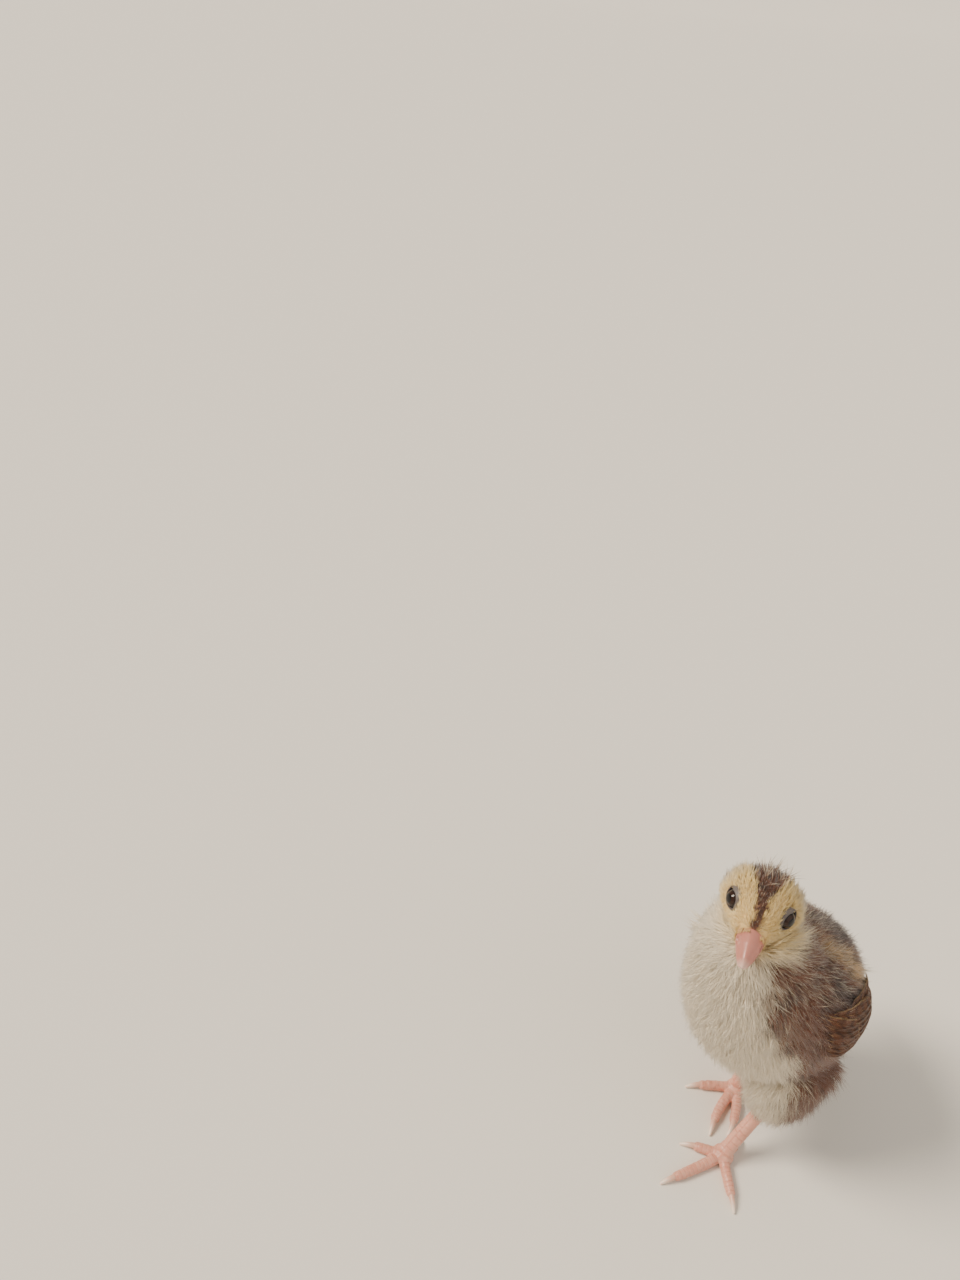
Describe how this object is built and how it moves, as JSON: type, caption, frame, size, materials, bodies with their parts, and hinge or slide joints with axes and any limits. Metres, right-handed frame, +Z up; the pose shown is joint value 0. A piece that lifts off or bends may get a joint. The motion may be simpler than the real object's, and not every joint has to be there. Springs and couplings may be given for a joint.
{
  "type": "coturnix quail chick",
  "caption": "Life-size standing coturnix quail chick in first down, with folded wings, feather sheaths just breaking, and its head turned to the left.",
  "frame": {"origin": "on the floor, under the middle of the whole bird's box", "axes": "+Z up, -Y is the way the trunk faces, +X is the chick's left side"},
  "size_m": [0.0348, 0.0478, 0.0611],
  "materials": {
    "eye": "wet gloss",
    "bill": "smooth horn, satin",
    "claw": "satin horn",
    "leg_skin": "scaled skin, satin",
    "down_yellow": "soft down",
    "down_cream": "soft down",
    "down_brown": "soft down",
    "feather": "feather vanes, satin"
  },
  "bodies": {
    "root": {"eye_left": "eye", "eye_right": "eye", "bill_upper": "bill", "bill_lower": "bill", "head": "down_yellow", "neck": "down_cream", "torso": "down_brown", "tail": "feather", "wing_left": "feather", "wing_right": "feather", "thigh_left": "down_cream", "thigh_right": "down_cream", "shank_left": "leg_skin", "shank_right": "leg_skin", "toe_left_middle": "leg_skin", "toe_left_outer": "leg_skin", "toe_left_inner": "leg_skin", "toe_left_hallux": "leg_skin", "toe_right_middle": "leg_skin", "toe_right_outer": "leg_skin", "toe_right_inner": "leg_skin", "toe_right_hallux": "leg_skin", "claw_left_middle": "claw", "claw_left_outer": "claw", "claw_left_inner": "claw", "claw_left_hallux": "claw", "claw_right_middle": "claw", "claw_right_outer": "claw", "claw_right_inner": "claw", "claw_right_hallux": "claw"}
  },
  "joints": []
}
